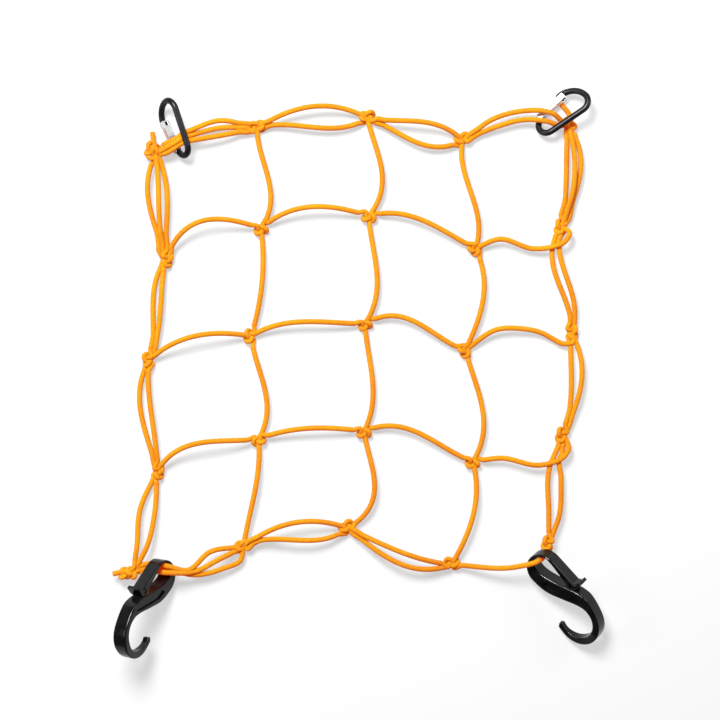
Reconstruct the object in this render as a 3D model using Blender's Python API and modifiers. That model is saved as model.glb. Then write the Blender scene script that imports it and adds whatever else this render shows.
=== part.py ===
"""Elastic luggage net with two mini carabiners and two plastic S-hooks.

The net is laid out loosely on a flat surface, seen from above: +X is to the
right, +Y towards the carabiner side, +Z up, and the surface is at z = 0.
Tables and named sizes are in millimetres; MM turns them into metres.
"""
import math

import bmesh
import bpy
from mathutils import Matrix, Vector

MM = 0.001
PART_NAME = "luggage_net"

# Middle of the whole part, in the layout's own coordinates.
LAYOUT_CENTRE = Vector((-1.7, -8.1, 0.0))

# ---- cord and knots ---------------------------------------------------------
CORD_RADIUS = 2.1
KNOT_HALF_LENGTH = 6.0        # along the cord that carries the knot
KNOT_HALF_WIDTH = 5.3
KNOT_HALF_HEIGHT = 3.5
KNOT_TURNS = 3                # ridges, one for each turn of cord that shows
KNOT_RIDGE = 0.17             # height of a ridge, as a share of the radius
KNOT_SLANT = 2.4              # how far a ridge winds from end to end, radians
KNOT_SEGMENTS = 12            # round the knot
KNOT_RINGS = 7                # and along it
SPAN_STEPS = 5                # straight pieces in one span
ROUTE_SPACING = 14.0          # length of one straight piece of a threaded strand
TAIL_SPACING = 8.0
CORD_SIDES_RESOLUTION = 1     # six sides

# Knots: name, x, y, height of its middle, turn in degrees.
KNOTS = (
    ("top_0", -162, 164, 9, 20),
    ("top_1", -82, 185, 4, 75),
    ("top_2", 6, 193, 4, 130),
    ("top_3", 82, 175, 4, 5),
    ("top_4", 166, 187, 4, 50),
    ("row1_0", -155, 80, 4, 100),
    ("row1_1", -79, 105, 4, 40),
    ("row1_2", 7, 115, 4, 85),
    ("row1_3", 92, 89, 4, 15),
    ("row1_4", 161, 106, 4, 65),
    ("row2_0", -168, 0, 4, 30),
    ("row2_1", -87, 19, 4, 110),
    ("row2_2", 4, 29, 4, 55),
    ("row2_3", 84, 8, 4, 95),
    ("row2_4", 168, 22, 4, 10),
    ("row3_0", -162, -89, 4, 80),
    ("row3_1", -81, -63, 4, 25),
    ("row3_2", 3, -57, 4, 120),
    ("row3_3", 90, -81, 4, 60),
    ("row3_4", 162, -60, 4, 35),
    ("foot_0", -180, -168, 11, 45),
    ("foot_1", -93, -149, 5, 105),
    ("foot_2", -10, -134, 4, 70),
    ("foot_3", 73, -163, 5, 15),
    ("foot_4", 150, -146, 9, 90),
)

# Spans: from, to, sideways bow at one third and at two thirds (to the left of
# the way it runs), rise in the middle.
SPANS = (
    # columns, from the top edge down
    ("top_1", "row1_1", 4, 9, 6),
    ("row1_1", "row2_1", 4.5, 4.5, 5),
    ("row2_1", "row3_1", 5, 9, 5),
    ("row3_1", "foot_1", 3.5, 2, 6),
    ("top_2", "row1_2", 7, 11, 6),
    ("row1_2", "row2_2", 5, 8.5, 5),
    ("row2_2", "row3_2", 4, 7, 4),
    ("row3_2", "foot_2", 11, 16, 6),
    ("top_3", "row1_3", -1.5, 4, 6),
    ("row1_3", "row2_3", 9.5, 8, 4),
    ("row2_3", "row3_3", 7, 10.5, 4),
    ("row3_3", "foot_3", 8, 7, 6),
    # rows, from the left edge to the right
    ("row1_0", "row1_1", 18, 15.5, 13),
    ("row1_1", "row1_2", 11, 9.5, 10),
    ("row1_2", "row1_3", 9, 6, 6),
    ("row2_0", "row2_1", 9, 8.5, 13),
    ("row2_1", "row2_2", 7, 4.5, 8),
    ("row2_2", "row2_3", 12.5, 6.5, 5),
    ("row2_3", "row2_4", 12, 5, 6),
    ("row3_0", "row3_1", 12, 8, 13),
    ("row3_1", "row3_2", 5.5, 5, 8),
    ("row3_2", "row3_3", 11.5, 6.5, 5),
    # top edge
    ("top_1", "top_2", 10, 11, 9),
    ("top_1", "top_2", -1, -6, 5),
    ("top_2", "top_3", 3, 6.5, 9),
    ("top_2", "top_3", -6.5, -11, 5),
    # right edge
    ("top_4", "row1_4", 0, 1, 4),
    ("top_4", "row1_4", 6, 6, 8),
    ("top_4", "row1_4", 11.5, 8.5, 3),
    ("row1_4", "row2_4", -10, -3, 3),
    ("row1_4", "row2_4", -3, 3.5, 5),
    ("row2_4", "row3_4", 2, 3.5, 4),
    ("row2_4", "row3_4", 10.5, 8.5, 5),
    # bottom edge
    ("foot_2", "foot_3", -2, -3, 12),
    ("foot_2", "foot_3", -9, -12, 9),
    ("foot_1", "foot_2", 11, 11.5, 12),
    ("foot_1", "foot_2", 2, -4, 9),
    # left edge
    ("top_0", "row1_0", -9, -6, 5),
    ("top_0", "row1_0", 0, -1.5, 8),
    ("top_0", "row1_0", 6, 3.5, 3),
    ("row1_0", "row2_0", -5, -1, 3),
    ("row1_0", "row2_0", 1.5, 3.5, 5),
    ("row2_0", "row3_0", -9.5, -6, 4),
    ("row2_0", "row3_0", -1.5, 0.5, 6),
)

# Tails: the cord's cut ends. Knot, then a point on the way and the free tip.
TAILS = (
    ("top_0", (-164, 172, 6), (-165.5, 181.5, 5)),
    ("top_4", (167.5, 194.5, 2.6), (160.5, 204.5, 2.4)),
    ("foot_0", (-188, -168, 11), (-196, -170, 9)),
)

# Strands that thread the hardware or turn back into a knot. A way point is a
# knot's name, a free (x, y, height), or a place in a fitting's own frame:
# (fitting, along, across, out of its plane).
THREADED = (
    # left carabiner: over the gate and under the spine
    ("top_0", (-145, 174.6, 14.8), (-140, 179.8, 13), (-134.3, 182.2, 12.5), (-112, 190, 11), "top_1"),
    ("top_0", (-145, 172.7, 15.6), (-139.3, 176.6, 13), (-134.3, 178.4, 11), (-112, 184.5, 8), "top_1"),
    ("top_0", (-145, 170.8, 14.8), (-138.4, 173.3, 13), (-134.3, 174.1, 12.3), (-112, 178, 11), "top_1"),
    # right carabiner: over the gate and under the spine
    ("top_3", (107, 192, 10), (131, 198, 10),
     (145, 197.4, 13.6), (152.8, 195.4, 14), (159.4, 191, 8.8), "top_4"),
    ("top_3", (107, 185, 8), (131, 191, 9),
     (144.5, 190, 11.5), (150.5, 188.9, 10.4), (156, 187.2, 7.6), "top_4"),
    # rows that come back to the edge from outside it
    ("row1_3", (110, 96, 9), (145, 92, 10), (164, 99, 9), "row1_4"),
    ("row3_3", (112, -78, 9), (145, -83, 10), (166, -70, 9), "row3_4"),
    # left hook: through the eye, under the tongue
    ("row3_0", (-175, -119, 8), (-177, -148, 12), "foot_0"),
    ("row3_0", (-163, -119, 8), (-169, -148, 13), "foot_0"),
    ("foot_0", ("hook_left", -6.1, 6.6, 7), ("hook_left", -6.1, 6.6, -7),
     (-136.7, -166.4, 15), (-119, -152.2, 13), "foot_1"),
    ("foot_0", ("hook_left", -1.8, 4.2, 7), ("hook_left", -1.8, 4.2, -7),
     (-130.6, -167.5, 13.5), (-112.7, -158.7, 11), "foot_1"),
    ("foot_0", ("hook_left", -6.1, 1.9, 7), ("hook_left", -6.1, 1.9, -7),
     (-130.6, -170.5, 11), (-108.4, -165.6, 9), (-95, -159.2, 6), "foot_1"),
    # right hook: through the eye from behind
    ("row3_4", (150, -90, 8), (150, -120, 9), "foot_4"),
    ("row3_4", (160, -90, 8), (158, -125, 9), "foot_4"),
    ("foot_4", ("hook_right", -7.1, 4.5, -7), ("hook_right", -7.1, 4.5, 7), (122.3, -163.4, 19), "foot_3"),
)

# ---- carabiners ---------------------------------------------------------------
BAR_RADIUS = 2.5
CARABINER_LENGTH = 50.0
BASKET_RADIUS = 7.3           # centreline of the bend at the hinge end
BASKET_END_ANGLE = 126.0
CROWN_RADIUS = 8.1            # centreline of the tight bend beside the spine
CROWN_SPREAD = 16.0           # centreline of the wide bend towards the nose
CROWN_TURN = 13.0             # where the tight bend passes into the wide one
NOSE_ANGLE = 80.0             # where the round bar ends on the wide bend
HINGE = Vector((8.0, 15.8, 0.0))
LATCH = Vector((33.0, 20.6, 0.0))
BEAK = ((37.0, 24.0), (33.0, 24.7), (28.3, 24.4), (26.9, 23.7), (27.4, 22.8), (37.0, 23.2))
BEAK_THICKNESS = 3.2
LUG_THICKNESS = 2.6
LUG_RADIUS = 1.9
GATE_WIDTH = 6.0
GATE_SHEET = 0.8
GATE_INNER = -2.5             # the gate's web, on the spine's side of the pin
GATE_OUTER = 2.0
GATE_ROUND = 2.5
GATE_LENGTH = 25.6
GATE_MOUTH = 3.4              # the web starts here, clear of the lug
SLOT = (21.4, 24.6, 1.3)      # start, end and half width of the slot in the web
CATCH = (22.0, 28.5, 0.9)     # start, end and half width of the nose's catch
CATCH_HEIGHTS = (-0.9, 1.1)
CATCH_TOOTH_LENGTH = 1.5
CUT_REACH = 9.0               # how far a cut runs past the gate on its open sides
PIN_RADIUS = 1.0
PIN_HOLE_RADIUS = 1.3
PIN_HEAD_RADIUS = 1.9
PIN_HEAD_THICKNESS = 0.5
FIT_GAP = 0.3

# ---- hooks ----------------------------------------------------------------------
# A hook's own zero is the middle of the eye's round end; x runs along the
# tongue towards the bend, and y from the bend's tip towards the tongue.
HOOK_WIDTH = 12.0
HOOK_TIP_WIDTH = 5.4
EYE_OUTER = (1.0, 0.7, 14.0)           # centre and radius of the eye's end
EYE_INNER = (-2.5, 4.5, 7.3)
BEND_OUTER = (49.6, -9.4, 19.4)
BEND_INNER = (47.6, -9.5, 15.2)
TONGUE_LENGTH = 29.2
TONGUE_THICKNESS = 2.9
TONGUE_TOOTH = (0.8, 6.0, 8.0)         # from the tongue's end: tip, back and root of its tooth
LIP_FOOT = ((-5.0, 0.0), (-3.0, 2.0))  # from the tongue's end and its outer face
LIP_THICKNESS = 2.4
LIP_HEIGHT = 5.8
SHANK_INSIDE = ((13.5, 1.8), (23.0, 7.2), (33.5, 12.4), (39.0, 13.7), (44.5, 12.4))
SHANK_OUTSIDE = ((40.6, 3.9), (15.5, -11.6))
SEAT_GAP = 0.9                         # the tongue's tooth above the shank
TIP_POINTS = ((-5.0, -3.4), (-6.8, -0.5), (-4.9, 1.2))  # from the lowest point of the bend's inside
TAPER_REACH = 14.0                     # the taper keeps to this far from the bend's middle
TAPER_START = 20.0                     # degrees round the bend
TAPER_TURN = 110.0
RECESS_OUTLINE = (
    (8.0, -8.0), (16.0, -7.0), (37.0, 4.8), (41.0, 8.2),
    (39.0, 10.2), (33.0, 8.8), (22.0, 3.2), (10.0, -3.2),
)
RECESS_DEPTH = 1.6
EDGE_BEVEL = 0.7
EDGE_ANGLE = 60.0                      # sharper edges than this are bevelled

# Fittings: name, x, y, height of its own zero, heading, roll, pitch in degrees.
FITTINGS = (
    ("carabiner_left", -133.5, 160.9, 16.4, 107.6, -50.8, 7),
    ("carabiner_right", 143.9, 176.3, 9.6, 33.5, -27.5, 12.8),
    ("hook_left", -158.2, -171.4, 14.1, -120.4, 129, 36),
    ("hook_right", 145.7, -164.3, 14.0, -47.9, 40, 8),
)


def fitting_frames():
    """Each fitting's own frame in the layout, by name."""
    frames = {}
    for name, x, y, height, heading, roll, pitch in FITTINGS:
        turn = Matrix.Rotation(math.radians(heading), 4, "Z")
        tip = Matrix.Rotation(math.radians(-pitch), 4, "Y")
        lean = Matrix.Rotation(math.radians(roll), 4, "X")
        frames[name] = Matrix.Translation((x, y, height)) @ turn @ tip @ lean
    return frames


FRAMES = fitting_frames()
KNOT_PLACES = {name: Vector((x, y, height)) for name, x, y, height, _turn in KNOTS}


# ---- shared helpers ---------------------------------------------------------------
def clear_scene():
    for old in list(bpy.data.objects):
        bpy.data.objects.remove(old, do_unlink=True)


def make_collection(name):
    collection = bpy.data.collections.new(name)
    bpy.context.scene.collection.children.link(collection)
    return collection


def make_material(name, colour, roughness, metallic=0.0):
    material = bpy.data.materials.new(name)
    material.use_nodes = True
    shader = material.node_tree.nodes["Principled BSDF"]
    shader.inputs["Base Color"].default_value = (*colour, 1.0)
    shader.inputs["Roughness"].default_value = roughness
    shader.inputs["Metallic"].default_value = metallic
    material.diffuse_color = (*colour, 1.0)
    return material


def scaled(point):
    """A layout point in millimetres as a world point in metres."""
    return (Vector(point) - LAYOUT_CENTRE) * MM


def own_to_world(frame):
    """The matrix that takes a fitting's metres to the world's metres."""
    placed = frame.copy()
    placed.translation = scaled(frame.translation)
    return placed


def smooth_path(points, spacing):
    """Points along a smooth curve through the given points."""
    points = [Vector(point) for point in points]
    lengths = [(b - a).length for a, b in zip(points, points[1:])]
    slopes = [(b - a) / d for a, b, d in zip(points, points[1:], lengths)]
    tangents = [slopes[0]]
    for before, after, d_before, d_after in zip(slopes, slopes[1:], lengths, lengths[1:]):
        tangents.append((before * d_after + after * d_before) / (d_before + d_after))
    tangents.append(slopes[-1])
    path = [points[0]]
    for index, length in enumerate(lengths):
        steps = max(1, round(length / spacing))
        for step in range(1, steps + 1):
            t = step / steps
            start = points[index] * (2 * t**3 - 3 * t**2 + 1)
            start += tangents[index] * length * (t**3 - 2 * t**2 + t)
            end = points[index + 1] * (3 * t**2 - 2 * t**3)
            end += tangents[index + 1] * length * (t**3 - t**2)
            path.append(start + end)
    return path


def arc(centre_x, centre_y, radius, start, end, steps):
    """Points of an arc; angles in degrees."""
    points = []
    for step in range(steps + 1):
        angle = math.radians(start + (end - start) * step / steps)
        points.append((centre_x + radius * math.cos(angle), centre_y + radius * math.sin(angle)))
    return points


def new_curve(name, radius, resolution):
    curve = bpy.data.curves.new(name, "CURVE")
    curve.dimensions = "3D"
    curve.bevel_depth = radius * MM
    curve.bevel_resolution = resolution
    curve.use_fill_caps = True
    return curve


def add_line(curve, points, closed=False):
    """Add a POLY spline through points that are already in metres."""
    spline = curve.splines.new("POLY")
    spline.points.add(len(points) - 1)
    for slot, point in zip(spline.points, points):
        slot.co = (*point, 1.0)
    spline.use_cyclic_u = closed


def curve_mesh_object(curve, name, collection):
    """Turn a curve into a mesh object whose caps are welded."""
    source = bpy.data.objects.new(name + "_curve", curve)
    bpy.context.scene.collection.objects.link(source)
    graph = bpy.context.evaluated_depsgraph_get()
    mesh = bpy.data.meshes.new_from_object(source.evaluated_get(graph))
    bpy.data.objects.remove(source, do_unlink=True)
    weld(mesh)
    return mesh_object(mesh, name, collection)


def weld(mesh):
    shape = bmesh.new()
    shape.from_mesh(mesh)
    bmesh.ops.remove_doubles(shape, verts=shape.verts, dist=1e-6)
    bmesh.ops.recalc_face_normals(shape, faces=shape.faces)
    shape.to_mesh(mesh)
    shape.free()


def mesh_object(mesh, name, collection):
    mesh.name = name
    placed = bpy.data.objects.new(name, mesh)
    collection.objects.link(placed)
    return placed


def outline_object(points, thickness, name, collection):
    """A flat plate from a closed outline in millimetres, half above z = 0."""
    curve = bpy.data.curves.new(name, "CURVE")
    curve.dimensions = "2D"
    curve.fill_mode = "BOTH"
    curve.extrude = thickness * MM / 2
    add_line(curve, [(x * MM, y * MM, 0.0) for x, y in points], closed=True)
    return curve_mesh_object(curve, name, collection)


def as_cutter(placed):
    placed.hide_render = True
    placed.display_type = "WIRE"
    return placed


def boolean(target, other, operation, use_self=False):
    modifier = target.modifiers.new(operation.title() + "_" + other.name, "BOOLEAN")
    modifier.operation = operation
    modifier.object = other
    modifier.solver = "EXACT"
    modifier.use_self = use_self


def box_object(low, high, name, collection):
    """A box between two corners in millimetres."""
    shape = bmesh.new()
    bmesh.ops.create_cube(shape, size=1.0)
    low = Vector(low)
    high = Vector(high)
    for vertex in shape.verts:
        vertex.co = Vector(
            (low[axis] + (vertex.co[axis] + 0.5) * (high[axis] - low[axis])) * MM for axis in range(3)
        )
    mesh = bpy.data.meshes.new(name)
    shape.to_mesh(mesh)
    shape.free()
    return mesh_object(mesh, name, collection)


def cylinder_object(centre, radius, low, high, name, collection, sides=12):
    """A cylinder along Z between two heights, in millimetres."""
    shape = bmesh.new()
    bmesh.ops.create_cone(
        shape, cap_ends=True, segments=sides, radius1=radius * MM, radius2=radius * MM,
        depth=(high - low) * MM,
    )
    middle = Vector((centre[0], centre[1], (low + high) / 2)) * MM
    bmesh.ops.translate(shape, verts=shape.verts, vec=middle)
    mesh = bpy.data.meshes.new(name)
    shape.to_mesh(mesh)
    shape.free()
    return mesh_object(mesh, name, collection)


def finish(placed, material, frame=None):
    placed.data.materials.clear()
    placed.data.materials.append(material)
    if frame is not None:
        placed.matrix_world = frame


# ---- net -------------------------------------------------------------------------
def way_point(point):
    """A way point of a threaded strand as a layout point."""
    if isinstance(point, str):
        return KNOT_PLACES[point]
    if isinstance(point[0], str):
        return FRAMES[point[0]] @ Vector(point[1:])
    return Vector(point)


def span_points(start, end, bow_1, bow_2, rise):
    """A slack cord between two knots: a sideways bow and an arch."""
    start = KNOT_PLACES[start]
    end = KNOT_PLACES[end]
    run = end - start
    left = Vector((-run.y, run.x, 0.0)).normalized()
    first = 9.0 * bow_1 - 4.5 * bow_2
    growth = 13.5 * (bow_2 - bow_1)
    points = []
    for step in range(SPAN_STEPS + 1):
        t = step / SPAN_STEPS
        arch = t * (1 - t)
        side = left * arch * (first + growth * t)
        points.append(start + run * t + side + Vector((0, 0, 4 * rise * arch)))
    return points


def add_knot(shape, place, turn):
    """A packed ball of cord with slanting ridges, one for each turn."""
    made = bmesh.ops.create_uvsphere(
        shape, u_segments=KNOT_SEGMENTS, v_segments=KNOT_RINGS, radius=1.0,
    )
    lay = Matrix.Rotation(math.radians(turn), 3, "Z") @ Matrix.Rotation(math.radians(90), 3, "Y")
    for vertex in made["verts"]:
        x, y, along = vertex.co
        around = math.atan2(y, x)
        swell = 1.0 + KNOT_RIDGE * math.cos(KNOT_TURNS * around + KNOT_SLANT * along)
        ball = lay @ Vector((x * swell, y * swell, along * KNOT_HALF_LENGTH / KNOT_HALF_WIDTH))
        ball.z *= KNOT_HALF_HEIGHT / KNOT_HALF_WIDTH
        vertex.co = scaled(place + ball * KNOT_HALF_WIDTH)


def build_net(parts, cutters):
    strands = new_curve("strands", CORD_RADIUS, CORD_SIDES_RESOLUTION)
    for row in SPANS:
        add_line(strands, [scaled(point) for point in span_points(*row)])
    for route in THREADED:
        points = smooth_path([way_point(point) for point in route], ROUTE_SPACING)
        add_line(strands, [scaled(point) for point in points])
    for knot, middle, tip in TAILS:
        points = smooth_path([KNOT_PLACES[knot], middle, tip], TAIL_SPACING)
        add_line(strands, [scaled(point) for point in points])
    net = curve_mesh_object(strands, "net", parts)

    shape = bmesh.new()
    for name, _x, _y, _height, turn in KNOTS:
        add_knot(shape, KNOT_PLACES[name], turn)
    mesh = bpy.data.meshes.new("knots")
    shape.to_mesh(mesh)
    shape.free()
    knots = as_cutter(mesh_object(mesh, "knots", cutters))
    boolean(net, knots, "UNION", use_self=True)
    return net


# ---- carabiners ------------------------------------------------------------------
def body_line():
    """The bar's centreline, from the hinge round to the nose."""
    basket_x = BAR_RADIUS + BASKET_RADIUS
    basket = arc(basket_x, BASKET_RADIUS, BASKET_RADIUS, BASKET_END_ANGLE, 270, 7)
    crown_x = CARABINER_LENGTH - BAR_RADIUS - CROWN_RADIUS
    crown = arc(crown_x, CROWN_RADIUS, CROWN_RADIUS, -90, CROWN_TURN, 6)
    turn = math.radians(CROWN_TURN)
    spread_x = crown_x + (CROWN_RADIUS - CROWN_SPREAD) * math.cos(turn)
    spread_y = CROWN_RADIUS + (CROWN_RADIUS - CROWN_SPREAD) * math.sin(turn)
    spread = arc(spread_x, spread_y, CROWN_SPREAD, CROWN_TURN, NOSE_ANGLE, 6)
    return basket + crown + spread[1:]


def lug_frame():
    """The flat lug's own frame: along it from the bar's end to the pin."""
    start = Vector((*body_line()[0], 0.0))
    run = HINGE - start
    turn = Matrix.Rotation(math.atan2(run.y, run.x), 4, "Z")
    return Matrix.Translation(HINGE * MM) @ turn, run.length


def gate_frame():
    """The gate's own frame: along it from the pin, and outwards across it."""
    run = LATCH - HINGE
    angle = math.atan2(run.y, run.x)
    return Matrix.Translation(HINGE * MM) @ Matrix.Rotation(angle, 4, "Z")


def build_carabiner(name, parts, cutters, black, bright):
    frame = own_to_world(FRAMES[name])
    local = gate_frame()

    bar = new_curve(name + "_bar", BAR_RADIUS, 2)
    add_line(bar, [(x * MM, y * MM, 0.0) for x, y in body_line()])
    body = curve_mesh_object(bar, name + "_body", parts)
    finish(body, black, frame)

    lug_local, neck = lug_frame()
    side = arc(0, 0, LUG_RADIUS, -90, 90, 6)
    side += [(-neck - LUG_RADIUS, LUG_RADIUS), (-neck - LUG_RADIUS, -LUG_RADIUS)]
    lug = as_cutter(outline_object(side, LUG_THICKNESS, name + "_lug", cutters))
    lug.matrix_world = frame @ lug_local
    start, end, half = CATCH
    low, high = CATCH_HEIGHTS
    tooth_end = start + CATCH_TOOTH_LENGTH
    catch = box_object((start, low, -half), (end, high, half), name + "_catch", cutters)
    tooth = box_object((start, GATE_INNER, -half), (tooth_end, 0, half), name + "_tooth", cutters)
    hole = cylinder_object((0, 0), PIN_HOLE_RADIUS, -CUT_REACH, CUT_REACH, name + "_hole", cutters)
    for cutter in (catch, tooth, hole):
        as_cutter(cutter).matrix_world = frame @ local
    beak = as_cutter(outline_object(BEAK, BEAK_THICKNESS, name + "_beak", cutters))
    beak.matrix_world = frame
    for piece in (lug, catch, tooth, beak):
        boolean(body, piece, "UNION")
    boolean(body, hole, "DIFFERENCE")

    side = arc(0, 0, GATE_ROUND, 90, 270, 6) + [(GATE_LENGTH, GATE_INNER), (GATE_LENGTH, GATE_OUTER)]
    gate = outline_object(side, GATE_WIDTH, name + "_gate", parts)
    finish(gate, bright, frame @ local)
    inside = GATE_WIDTH / 2 - GATE_SHEET
    web = GATE_INNER + GATE_SHEET
    far = GATE_LENGTH + CUT_REACH
    channel = box_object((-CUT_REACH, web, -inside), (far, CUT_REACH, inside), name + "_channel", cutters)
    mouth = box_object(
        (-CUT_REACH, -CUT_REACH, -inside), (GATE_MOUTH, CUT_REACH, inside), name + "_mouth", cutters
    )
    start, end, half = SLOT
    slot = box_object((start, -CUT_REACH, -half), (end, CUT_REACH, half), name + "_slot", cutters)
    for cutter in (channel, mouth, slot):
        as_cutter(cutter).matrix_world = frame @ local
        boolean(gate, cutter, "DIFFERENCE")
    boolean(gate, hole, "DIFFERENCE")

    half_pin = GATE_WIDTH / 2 + FIT_GAP + PIN_HEAD_THICKNESS
    pin = cylinder_object((0, 0), PIN_RADIUS, -half_pin, half_pin, name + "_rivet", parts)
    finish(pin, bright, frame @ local)
    for side_name, low, high in (
        ("low", -half_pin, -half_pin + PIN_HEAD_THICKNESS),
        ("high", half_pin - PIN_HEAD_THICKNESS, half_pin),
    ):
        head = cylinder_object((0, 0), PIN_HEAD_RADIUS, low, high, name + "_head_" + side_name, cutters)
        as_cutter(head).matrix_world = frame @ local
        boolean(pin, head, "UNION")


# ---- hooks -------------------------------------------------------------------------
def hook_outline():
    """The hook's side view: sprung tongue, eye, shank and open bend."""
    eye_top = EYE_OUTER[1] + EYE_OUTER[2]
    under = eye_top - TONGUE_THICKNESS
    low, high = SHANK_INSIDE[1], SHANK_INSIDE[2]
    slope = (high[1] - low[1]) / (high[0] - low[0])
    tooth_tip, tooth_back, tooth_root = (TONGUE_LENGTH - back for back in TONGUE_TOOTH)
    tooth = [(x, low[1] + slope * (x - low[0]) + SEAT_GAP) for x in (tooth_tip, tooth_back)]
    tongue_inside = tooth + [(tooth_root, under)]
    eye = arc(*EYE_INNER, 88, 272, 8)
    bend_outside = arc(*BEND_OUTER, 86, -96, 14)
    centre_x, centre_y, radius = BEND_INNER
    tip = [(centre_x + x, centre_y - radius + y) for x, y in TIP_POINTS]
    bend_inside = arc(*BEND_INNER, -100, 112, 12)
    eye_outside = arc(*EYE_OUTER, -62, -270, 12)
    lip = [(TONGUE_LENGTH + x, eye_top + y) for x, y in LIP_FOOT]
    lip += [
        (TONGUE_LENGTH - LIP_THICKNESS, eye_top + LIP_HEIGHT),
        (TONGUE_LENGTH, eye_top + LIP_HEIGHT),
        (TONGUE_LENGTH, eye_top - 1),
    ]
    return (
        tongue_inside + eye + list(SHANK_INSIDE) + bend_outside + tip + bend_inside
        + list(SHANK_OUTSIDE) + eye_outside + lip
    )


def taper_tip(placed):
    """Narrow the band from the middle of the bend to the tip."""
    centre_x, centre_y, _radius = BEND_OUTER
    for vertex in placed.data.vertices:
        x = vertex.co.x / MM - centre_x
        y = vertex.co.y / MM - centre_y
        if x < -TAPER_REACH or y > TAPER_REACH:
            continue
        angle = math.degrees(math.atan2(y, x))
        share = min(1.0, max(0.0, (TAPER_START - angle) / TAPER_TURN))
        width = HOOK_WIDTH + (HOOK_TIP_WIDTH - HOOK_WIDTH) * share
        vertex.co.z *= width / HOOK_WIDTH


def build_hook(name, parts, cutters, plastic):
    frame = own_to_world(FRAMES[name])
    hook = outline_object(hook_outline(), HOOK_WIDTH, name, parts)
    taper_tip(hook)
    finish(hook, plastic, frame)
    for side_name, side in (("low", -1), ("high", 1)):
        recess = outline_object(RECESS_OUTLINE, 2 * RECESS_DEPTH, name + "_recess_" + side_name, cutters)
        shift = Matrix.Translation((0.0, 0.0, side * HOOK_WIDTH * MM / 2))
        as_cutter(recess).matrix_world = frame @ shift
        boolean(hook, recess, "DIFFERENCE")
    bevel = hook.modifiers.new("Edges", "BEVEL")
    bevel.width = EDGE_BEVEL * MM
    bevel.segments = 1
    bevel.limit_method = "ANGLE"
    bevel.angle_limit = math.radians(EDGE_ANGLE)


# ---- the whole part ----------------------------------------------------------------
def main():
    clear_scene()
    parts = make_collection(PART_NAME)
    cutters = make_collection("cutters")
    orange = make_material("orange_cord", (0.90, 0.32, 0.02), 0.75)
    black = make_material("black_metal", (0.02, 0.02, 0.02), 0.35, 0.6)
    bright = make_material("bright_metal", (0.75, 0.75, 0.76), 0.25, 1.0)
    plastic = make_material("black_plastic", (0.015, 0.015, 0.015), 0.3)
    net = build_net(parts, cutters)
    finish(net, orange)
    for name in ("carabiner_left", "carabiner_right"):
        build_carabiner(name, parts, cutters, black, bright)
    for name in ("hook_left", "hook_right"):
        build_hook(name, parts, cutters, plastic)


main()
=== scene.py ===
"""Looks of the elastic luggage net: cords with real knots, carabiners and hooks.

The tables and sizes of the net and its fittings are in millimetres, in the
layout's own coordinates, as in the part's source; LAYOUT_CENTRE and MM turn them
into the frame's metres. The camera, the floor and the lights are in metres.
Angles are in degrees where no comment says otherwise.
"""
import math

import bmesh
import bpy
from mathutils import Matrix, Vector


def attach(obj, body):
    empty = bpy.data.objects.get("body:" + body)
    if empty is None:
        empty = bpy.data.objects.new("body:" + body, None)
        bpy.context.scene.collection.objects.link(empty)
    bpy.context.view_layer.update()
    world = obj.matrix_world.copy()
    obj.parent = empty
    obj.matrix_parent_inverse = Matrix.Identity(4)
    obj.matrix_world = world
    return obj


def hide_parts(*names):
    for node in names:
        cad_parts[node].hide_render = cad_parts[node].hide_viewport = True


MM = 0.001
ROOT_BODY = "net_and_fittings"
LAYOUT_CENTRE = Vector((-1.7, -8.1, 0.0))

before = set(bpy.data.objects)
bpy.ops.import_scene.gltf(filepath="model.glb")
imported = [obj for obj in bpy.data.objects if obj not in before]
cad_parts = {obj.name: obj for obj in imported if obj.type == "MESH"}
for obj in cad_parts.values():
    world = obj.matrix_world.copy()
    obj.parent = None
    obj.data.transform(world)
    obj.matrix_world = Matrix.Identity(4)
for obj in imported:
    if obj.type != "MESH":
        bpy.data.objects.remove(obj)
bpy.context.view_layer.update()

# ---- camera and surroundings -----------------------------------------------------
CAMERA_HEIGHT = 1.4
VIEW_WIDTH = 0.576            # what the picture spans on the floor
SENSOR = 36.0                 # millimetres
FLOOR_REACH = 8.0
FLOOR_FINISH = {
    "Base Color": (0.16, 0.16, 0.16, 1.0),
    "Roughness": 0.9,
    "Specular IOR Level": 0.0,
    "Emission Color": (1.0, 1.0, 1.0, 1.0),
    "Emission Strength": 0.56,
}
WORLD_STRENGTH = 0.08

# Lights: name, place, width, watts. All face the middle of the net.
LIGHTS = (
    ("key", (-0.3, 0.7, 1.25), 0.5, 76.0),
    ("rim", (0.95, 0.5, 0.6), 0.4, 7.0),
    ("side", (-1.0, -0.1, 0.7), 0.4, 6.0),
)

# ---- looks of the materials ------------------------------------------------------
BRAID_CARRIERS = 12           # yarns round the cord
BRAID_PITCH = 4.4             # length in which a yarn goes once round
BRAID_BUMP = (0.55, 0.00022)  # strength, and height in metres
FIBRE_SCALE = 900.0
FIBRE_SHARE = 0.5             # how far the fibres add to the yarns' height
GROOVE_TOP = 0.9              # height of the yarns from which no painted shade lies in the groove
GROOVE_SHADE_SHARE = 0.42           # how far the painted shade in the grooves comes through
CORD_PATCH_SCALE = 35.0
CORD_COLOURS = ((0.30, 0.185, 0.001), (0.26, 0.138, 0.001))
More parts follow.
